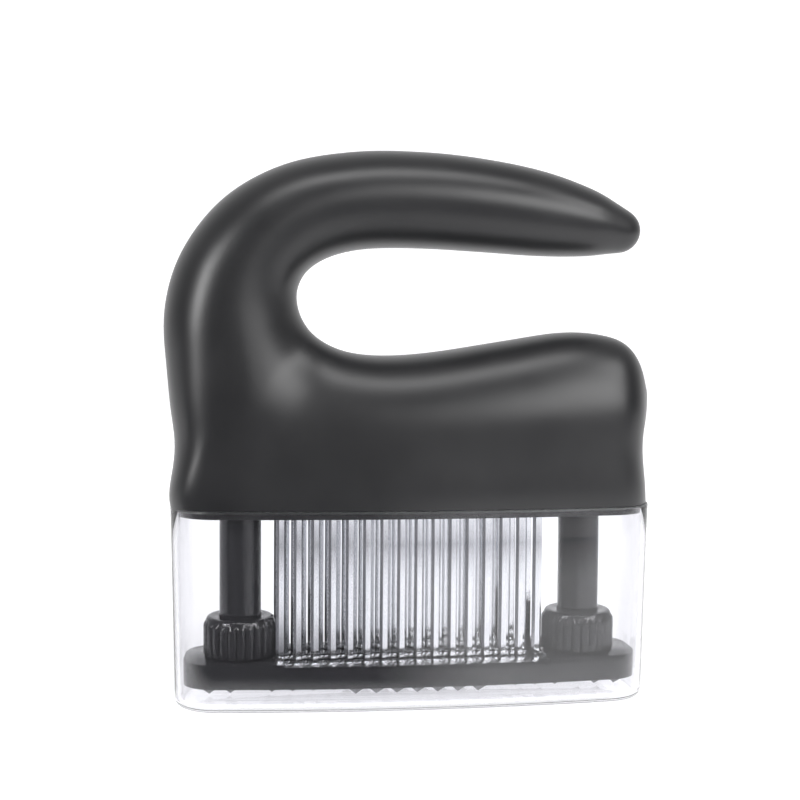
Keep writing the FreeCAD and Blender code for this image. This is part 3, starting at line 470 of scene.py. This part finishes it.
CAVITY_EDGE = 0.4
FOOT_SHARE = 0.2
RIB_ROWS = 5
RIB_POWER = 0.6

# Share of the rib's depth, and height above the nut's foot
RIB_FADE = ((0.92, 9.2), (0.7, 9.7), (0.35, 10.1), (0.08, 10.4))

# How far out from the bore and how far below the top
BORE_EDGE = ((0.35, 0.0), (0.1, 0.1), (0.0, 0.35))


def nut_profile():
    """The nut's section as radius, height and share of the rib, once round from its roof's underside."""
    cavity = BOSS_RADIUS + SEAT_GAP
    bore = POST_RADIUS + RUNNING_GAP
    roof = NUT_TOP - NUT_ROOF
    low = NUT_LOW + NUT_EDGE
    profile = [
        (cavity, roof, 0.0),
        (cavity, NUT_LOW + CAVITY_EDGE, 0.0),
        (cavity + NUT_EDGE, NUT_LOW, 0.0),
        (NUT_RADIUS - NUT_EDGE, NUT_LOW, FOOT_SHARE),
        (NUT_RADIUS, low, 1.0),
    ]
    for n in range(1, RIB_ROWS + 1):
        profile.append((NUT_RADIUS, low + RIB_LENGTH * n / RIB_ROWS, 1.0))
    for share, rise in RIB_FADE:
        profile.append((NUT_RADIUS, NUT_LOW + rise, share))
    for n in range(1, NUT_ROUND_STEPS + 1):
        angle = math.pi / 2 * n / NUT_ROUND_STEPS
        radius = NUT_RADIUS - NUT_ROUND * (1 - math.cos(angle))
        profile.append((radius, NUT_TOP - NUT_ROUND * (1 - math.sin(angle)), 0.0))
    for out, down in BORE_EDGE:
        profile.append((bore + out, NUT_TOP - down, 0.0))
    profile.append((bore, roof, 0.0))
    return profile


def make_nut(side, x):
    """Ribbed cap: a turned form whose side is pushed out into ribs that fade into its rounded top."""
    steps = NUT_RIBS * RIB_STEPS
    rings = []
    for radius, height, share in nut_profile():
        ring = []
        for n in range(steps):
            angle = 2 * math.pi * n / steps
            wave = abs(math.cos(angle * NUT_RIBS / 2)) ** RIB_POWER
            grown = radius + share * RIB_DEPTH * wave
            ring.append((x + grown * math.cos(angle), grown * math.sin(angle), height))
        rings.append(ring)
    rings.append(rings[0])
    nut = new_object(f"nut_{side}_skin", skin_rings(rings, False))
    bm = bmesh.new()
    bm.from_mesh(nut.data)
    bmesh.ops.remove_doubles(bm, verts=bm.verts, dist=MERGE_DISTANCE)
    bmesh.ops.recalc_face_normals(bm, faces=bm.faces)
    bm.to_mesh(nut.data)
    bm.free()
    smooth_below(nut, NUT_ANGLE)
    return nut


def softened_copy(node, name, width, degrees):
    """A copy of a solid's mesh with its edges rounded off."""
    obj = new_object(name, frame["nodes"][node].data.copy())
    bm = bmesh.new()
    bm.from_mesh(obj.data)
    bmesh.ops.remove_doubles(bm, verts=bm.verts, dist=MERGE_DISTANCE)
    flat = math.radians(FLAT_ANGLE)
    bmesh.ops.dissolve_limit(bm, angle_limit=flat, verts=bm.verts, edges=bm.edges)
    bm.to_mesh(obj.data)
    bm.free()
    bevel = obj.modifiers.new("edges", "BEVEL")
    bevel.width = width * MM
    bevel.segments = EDGE_SEGMENTS
    bevel.limit_method = "ANGLE"
    bevel.angle_limit = math.radians(degrees)
    bevel.harden_normals = False
    applied(obj)
    smooth_below(obj, degrees)
    return obj


# Materials

NOISE_DETAIL = 3.0
NOISE_LOW = 0.3
NOISE_HIGH = 0.7
RAMP_PLACES = (0.35, 0.65)
CLOUD_SCALE = 45.0
GRAIN_SCALE = 2600.0
GRAIN_DETAIL = 2.0
GRAIN_HEIGHT = 0.00004
GRINDING_SCALE = 1500.0
GRINDING_HEIGHT = 0.00003
GRINDING_SHARE = 0.08
GROOVE_TONE = 0.93
HAZE_SCALE = 30.0
HAZE_TONES = ((0.925, 0.925, 0.945), (0.935, 0.935, 0.953))
HAZE_ROUGHNESS = 0.02
# Painted shade: the darker colour mixed into the clear cover at its corners and foot
COVER_PAINTED_SHADE = (0.62, 0.62, 0.65, 1)
COVER_IOR = 1.45
RIM_FROST = 0.4
RIM_FADE = 0.3
PLASTIC_SPECULAR = 0.5

# Dark and light tone, least and greatest roughness, and strength of the grain
SATIN_BLACK = ((0.008, 0.008, 0.009), (0.011, 0.011, 0.012), 0.33, 0.38, 0.22)
GLOSS_BLACK = ((0.007, 0.007, 0.008), (0.010, 0.010, 0.011), 0.10, 0.15, 0.06)
GUIDE_BLACK = ((0.007, 0.007, 0.008), (0.010, 0.010, 0.011), 0.12, 0.18, 0.06)

# Tone, least and greatest roughness, and how the grinding lines are stretched
BLADE_STEEL = ((0.68, 0.69, 0.71), 0.08, 0.16, (1, 1, 0.02))
SPRING_STEEL = ((0.6, 0.6, 0.61), 0.25, 0.35, (1, 1, 1))
SCREW_STEEL = ((0.5, 0.5, 0.51), 0.25, 0.4, (1, 1, 1))


def new_material(name):
    material = bpy.data.materials.new(name)
    material.use_nodes = True
    nodes = material.node_tree.nodes
    return material, nodes, material.node_tree.links, nodes["Principled BSDF"]


def feed(links, value, socket):
    """Links a value to a socket, or writes it there if it is a constant."""
    if isinstance(value, bpy.types.NodeSocket):
        links.new(value, socket)
    else:
        socket.default_value = value


def combined(nodes, links, operation, first, second=0.0):
    """A value worked out from one or two others."""
    node = nodes.new("ShaderNodeMath")
    node.operation = operation
    feed(links, first, node.inputs[0])
    feed(links, second, node.inputs[1])
    return node.outputs["Value"]


def spread(nodes, links, value, start, end, low=0.0, high=1.0):
    """Maps a value from one range to another, held at its ends."""
    node = nodes.new("ShaderNodeMapRange")
    for name, number in (("From Min", start), ("From Max", end), ("To Min", low), ("To Max", high)):
        node.inputs[name].default_value = number
    links.new(value, node.inputs["Value"])
    return node.outputs["Result"]


def mixed(nodes, links, kind, factor, first, second):
    """A mix of two values or colours."""
    node = nodes.new("ShaderNodeMix")
    node.data_type = kind
    feed(links, factor, node.inputs["Factor"])
    feed(links, first, node.inputs["A"])
    feed(links, second, node.inputs["B"])
    return node.outputs["Result"]


def axes(nodes, links, coordinates):
    """The separate values of a kind of texture coordinates."""
    place = nodes.new("ShaderNodeTexCoord")
    split = nodes.new("ShaderNodeSeparateXYZ")
    links.new(place.outputs[coordinates], split.inputs["Vector"])
    return split.outputs


def object_noise(nodes, links, scale, detail=NOISE_DETAIL, stretch=(1, 1, 1)):
    """Noise that sticks to the object, stretched along its axes."""
    place = nodes.new("ShaderNodeTexCoord")
    mapping = nodes.new("ShaderNodeMapping")
    mapping.inputs["Scale"].default_value = stretch
    noise = nodes.new("ShaderNodeTexNoise")
    noise.inputs["Scale"].default_value = scale
    noise.inputs["Detail"].default_value = detail
    links.new(place.outputs["Object"], mapping.inputs["Vector"])
    links.new(mapping.outputs["Vector"], noise.inputs["Vector"])
    return noise


def ranged(nodes, links, noise, low, high):
    """Maps noise to a range of values."""
    return spread(nodes, links, noise.outputs["Fac"], NOISE_LOW, NOISE_HIGH, low, high)


def tinted(nodes, links, noise, dark, light):
    """Colours between two tones, by noise."""
    ramp = nodes.new("ShaderNodeValToRGB")
    for element, position, tone in zip(ramp.color_ramp.elements, RAMP_PLACES, (dark, light)):
        element.position = position
        element.color = (*tone, 1)
    links.new(noise.outputs["Fac"], ramp.inputs["Fac"])
    return ramp.outputs["Color"]


def bumped(nodes, links, shader, noise, strength, distance):
    bump = nodes.new("ShaderNodeBump")
    bump.inputs["Strength"].default_value = strength
    bump.inputs["Distance"].default_value = distance
    links.new(noise.outputs["Fac"], bump.inputs["Height"])
    links.new(bump.outputs["Normal"], shader.inputs["Normal"])


def moulded_plastic(name, dark, light, rough_low, rough_high, grain):
    """Moulded plastic with faint tone changes and a fine grain."""
    material, nodes, links, shader = new_material(name)
    cloud = object_noise(nodes, links, CLOUD_SCALE)
    tones = tinted(nodes, links, cloud, dark, light)
    links.new(tones, shader.inputs["Base Color"])
    rough = ranged(nodes, links, cloud, rough_low, rough_high)
    links.new(rough, shader.inputs["Roughness"])
    shader.inputs["Specular IOR Level"].default_value = PLASTIC_SPECULAR
    fine = object_noise(nodes, links, GRAIN_SCALE, GRAIN_DETAIL)
    bumped(nodes, links, shader, fine, grain, GRAIN_HEIGHT)
    return material


def polished_steel(name, tone, rough_low, rough_high, stretch):
    """Steel with fine grinding lines along one axis."""
    material, nodes, links, shader = new_material(name)
    lines = object_noise(nodes, links, GRINDING_SCALE, stretch=stretch)
    dark = tuple(c * GROOVE_TONE for c in tone)
    tones = tinted(nodes, links, lines, dark, tone)
    links.new(tones, shader.inputs["Base Color"])
    shader.inputs["Metallic"].default_value = 1.0
    rough = ranged(nodes, links, lines, rough_low, rough_high)
    links.new(rough, shader.inputs["Roughness"])
    bumped(nodes, links, shader, lines, GRINDING_SHARE, GRINDING_HEIGHT)
    return material


def clear_plastic(name):
    """Clear plastic with shade painted into its colour at its corners and foot, and frosted along its rim.
    """
    material, nodes, links, shader = new_material(name)
    haze = object_noise(nodes, links, HAZE_SCALE)
    tones = tinted(nodes, links, haze, *HAZE_TONES)
    along = axes(nodes, links, "Object")
    # Painted shade: the colour turns darker towards the rounded corners and the foot of the cover
    across = combined(nodes, links, "ABSOLUTE", along["X"])
    corner = spread(nodes, links, across, (HALF_WIDTH - CORNER / 2) * MM, HALF_WIDTH * MM)
    foot = spread(nodes, links, along["Z"], COVER_ROUND * MM, 0.0)
    painted_shade = combined(nodes, links, "MAXIMUM", corner, foot)
    links.new(mixed(nodes, links, "RGBA", painted_shade, tones, COVER_PAINTED_SHADE), shader.inputs["Base Color"])
    shader.inputs["Transmission Weight"].default_value = 1.0
    shader.inputs["IOR"].default_value = COVER_IOR
    band = BASE - RIM_GAP - RIM_BAND
    rim = spread(nodes, links, along["Z"], (band - RIM_FADE) * MM, band * MM, 0.0, RIM_FROST)
    rough = combined(nodes, links, "MAXIMUM", ranged(nodes, links, haze, 0.0, HAZE_ROUGHNESS), rim)
    links.new(rough, shader.inputs["Roughness"])
    clear = nodes.new("ShaderNodeBsdfTransparent")
    path = nodes.new("ShaderNodeLightPath")
    mix = nodes.new("ShaderNodeMixShader")
    links.new(path.outputs["Is Shadow Ray"], mix.inputs["Fac"])
    links.new(shader.outputs["BSDF"], mix.inputs[1])
    links.new(clear.outputs["BSDF"], mix.inputs[2])
    links.new(mix.outputs["Shader"], nodes["Material Output"].inputs["Surface"])
    return material


def dress(obj, material):
    obj.data.materials.clear()
    obj.data.materials.append(material)


# Floor, world, lamps and camera, in metres and degrees

FLOOR_HALF = 3.0
FLOOR_BACK = 2.2
FLOOR_RISE = 3.0
FLOOR_BEND = 0.8
FLOOR_TONE = (0.86, 0.86, 0.87, 1)
FLOOR_ROUGHNESS = 0.9
FLOOR_SPECULAR = 0.1
FLOOR_GLOW = 0.35
BACK_GLOW = 0.5
GLOW_BEHIND = (0.15, 0.9)
GLOW_START = (-0.6, -0.35)

# Shade of the floor in reflections, and where along X or Y it starts and is full
FLOOR_SHADE = (0.12, 0.12, 0.13, 1)
FAR_SHADE = 0.85
SHADE_START = (-0.02, -0.05)
SHADE_LEFT = (0.03, -0.01)
SHADE_FAR = (-0.17, -0.26)

# Level of the room's light, and what its front shows
WORLD_LEVEL = 0.55
ROOM_FRONT = 0.12
ROOM_SPAN = (-0.1, 0.7)

# Name, place, aim, width, height, power
LAMPS = (
    ("left_box", (-0.80, -0.60, 0.40), (0, 0, 0.09), 0.28, 0.60, 7.0),
    ("right_box", (0.62, -0.95, 0.52), (0, 0, 0.11), 0.80, 0.50, 9.0),
    ("top_box", (0.0, -0.45, 1.1), (0, 0, 0.09), 0.9, 0.30, 5.5),
    ("side_box", (0.85, -0.60, 0.95), (0, 0, 0.09), 0.40, 0.40, 3.5),
)

CAMERA_PLACE = (-0.0616, -0.4304, 0.1210)
CAMERA_LENS = 64.9
CAMERA_YAW = 7.63
CAMERA_PITCH = 3.98
CAMERA_ROLL = 0.47
SENSOR_WIDTH = 36.0
CLIP_RANGE = (0.01, 20.0)


def shown_rays(nodes, links):
    """The rays that show the pale room itself, and the reflections among them."""
    path = nodes.new("ShaderNodeLightPath").outputs
    seen = combined(nodes, links, "MAXIMUM", path["Is Camera Ray"], path["Is Glossy Ray"])
    shown = combined(nodes, links, "MAXIMUM", seen, path["Is Transmission Ray"])
    return shown, path["Is Glossy Ray"]


def shaded_floor(nodes, links, along, glossy):
    """Where reflections show the floor as shaded: before the object, on its left and far in front."""
    before = spread(nodes, links, along["Y"], *SHADE_START)
    left = spread(nodes, links, along["X"], *SHADE_LEFT)
    far = spread(nodes, links, along["Y"], *SHADE_FAR, 0.0, FAR_SHADE)
    either = combined(nodes, links, "MAXIMUM", left, far)
    both = combined(nodes, links, "MULTIPLY", before, either)
    return combined(nodes, links, "MULTIPLY", both, glossy)


def floor_material():
    """White floor that glows a little where it is seen, and more towards the back."""
    material, nodes, links, shader = new_material("floor_white")
    shader.inputs["Roughness"].default_value = FLOOR_ROUGHNESS
    shader.inputs["Specular IOR Level"].default_value = FLOOR_SPECULAR
    shown, glossy = shown_rays(nodes, links)
    along = axes(nodes, links, "Object")
    behind = spread(nodes, links, along["Y"], *GLOW_BEHIND, FLOOR_GLOW, BACK_GLOW)
    lit = combined(nodes, links, "MULTIPLY", behind, spread(nodes, links, along["Y"], *GLOW_START))
    shaded = shaded_floor(nodes, links, along, glossy)
    kept = combined(nodes, links, "SUBTRACT", 1.0, shaded)
    glow = combined(nodes, links, "MULTIPLY", shown, combined(nodes, links, "MULTIPLY", lit, kept))
    shader.inputs["Emission Color"].default_value = (1, 1, 1, 1)
    links.new(glow, shader.inputs["Emission Strength"])
    links.new(mixed(nodes, links, "RGBA", shaded, FLOOR_TONE, FLOOR_SHADE), shader.inputs["Base Color"])
    return material


def make_floor():
    """A wide pale floor that runs up into a backdrop."""
    line = [(-FLOOR_HALF, 0.0), (FLOOR_BACK - FLOOR_BEND, 0.0)]
    for n in range(1, FLOOR_STEPS + 1):
        angle = math.pi / 2 * n / FLOOR_STEPS
        across = FLOOR_BACK - FLOOR_BEND + FLOOR_BEND * math.sin(angle)
        line.append((across, FLOOR_BEND * (1 - math.cos(angle))))
    line.append((FLOOR_BACK, FLOOR_RISE))
    bm = bmesh.new()
    rows = [[bm.verts.new((x, y, z)) for y, z in line] for x in (-FLOOR_HALF, FLOOR_HALF)]
    for n in range(len(line) - 1):
        bm.faces.new((rows[0][n], rows[1][n], rows[1][n + 1], rows[0][n + 1]))
    mesh = bpy.data.meshes.new("floor")
    bm.to_mesh(mesh)
    bm.free()
    floor = new_object("floor", mesh)
    floor.data.shade_smooth()
    dress(floor, floor_material())


def make_world():
    """A white room that is darker in front of the object."""
    world = bpy.data.worlds.new("studio")
    bpy.context.scene.world = world
    world.use_nodes = True
    nodes = world.node_tree.nodes
    links = world.node_tree.links
    background = nodes["Background"]
    background.inputs["Color"].default_value = (1, 1, 1, 1)
    shown, _ = shown_rays(nodes, links)
    along = axes(nodes, links, "Generated")
    room = spread(nodes, links, along["Y"], *ROOM_SPAN, ROOM_FRONT, 1.0)
    level = mixed(nodes, links, "FLOAT", shown, WORLD_LEVEL, room)
    links.new(level, background.inputs["Strength"])


def soft_box(name, place, target, width, height, power):
    """A rectangular lamp that faces its target."""
    lamp = bpy.data.lights.new(name, "AREA")
    lamp.shape = "RECTANGLE"
    lamp.size = width
    lamp.size_y = height
    lamp.energy = power
    obj = bpy.data.objects.new(name, lamp)
    bpy.context.scene.collection.objects.link(obj)
    obj.location = place
    obj.rotation_euler = (Vector(target) - Vector(place)).to_track_quat("-Z", "Y").to_euler()


def make_camera():
    data = bpy.data.cameras.new("camera")
    data.sensor_width = SENSOR_WIDTH
    data.lens = CAMERA_LENS
    data.clip_start, data.clip_end = CLIP_RANGE
    camera = bpy.data.objects.new("camera", data)
    bpy.context.scene.collection.objects.link(camera)
    yaw, pitch, roll = (math.radians(v) for v in (CAMERA_YAW, CAMERA_PITCH, CAMERA_ROLL))
    ahead = Vector((math.sin(yaw) * math.cos(pitch), math.cos(yaw) * math.cos(pitch), -math.sin(pitch)))
    turn = ahead.to_track_quat("-Z", "Y").to_matrix() @ Matrix.Rotation(roll, 3, "Z")
    camera.rotation_euler = turn.to_euler()
    camera.location = CAMERA_PLACE
    bpy.context.scene.camera = camera


satin_black = moulded_plastic("satin_black_plastic", *SATIN_BLACK)
gloss_black = moulded_plastic("gloss_black_plastic", *GLOSS_BLACK)
guide_black = moulded_plastic("guide_black_plastic", *GUIDE_BLACK)
blade_steel = polished_steel("blade_steel", *BLADE_STEEL)
spring_steel = polished_steel("spring_steel", *SPRING_STEEL)
screw_steel = polished_steel("screw_steel", *SCREW_STEEL)
clear_cover = clear_plastic("clear_cover_plastic")

NODE_MATERIALS = {
    "handle": satin_black,
    "press_parts": gloss_black,
    "clear_cover": clear_cover,
    "blades": blade_steel,
    "springs": spring_steel,
    "screws": screw_steel,
}
for part in frame["record"]["subparts"]:
    node = frame["nodes"][part["node"]]
    dress(node, NODE_MATERIALS[part["material_slot"]])

for shell_side, shell_skin in make_handle().items():
    dress(shell_skin, satin_black)
    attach(shell_skin, "handle")
    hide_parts(f"handle_shell_{shell_side}")

cover_skin = make_cover()
dress(cover_skin, clear_cover)
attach(cover_skin, "cover")
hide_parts("cover")

for guide_side in ("left", "right"):
    dress(frame["nodes"][f"guide_post_{guide_side}"], guide_black)

for nut_side, nut_x in (("left", -POST_OFFSET), ("right", POST_OFFSET)):
    nut_skin = make_nut(nut_side, nut_x)
    dress(nut_skin, guide_black)
    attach(nut_skin, f"nut_{nut_side}")
    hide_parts(f"knurled_nut_{nut_side}")

plate_skin = softened_copy("press_plate", "press_plate_skin", PLATE_SOFTNESS, PLATE_ANGLE)
dress(plate_skin, gloss_black)
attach(plate_skin, "press")
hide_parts("press_plate")

make_floor()
make_world()
for soft_lamp in LAMPS:
    soft_box(*soft_lamp)
make_camera()
bpy.context.scene.view_settings.view_transform = "Standard"
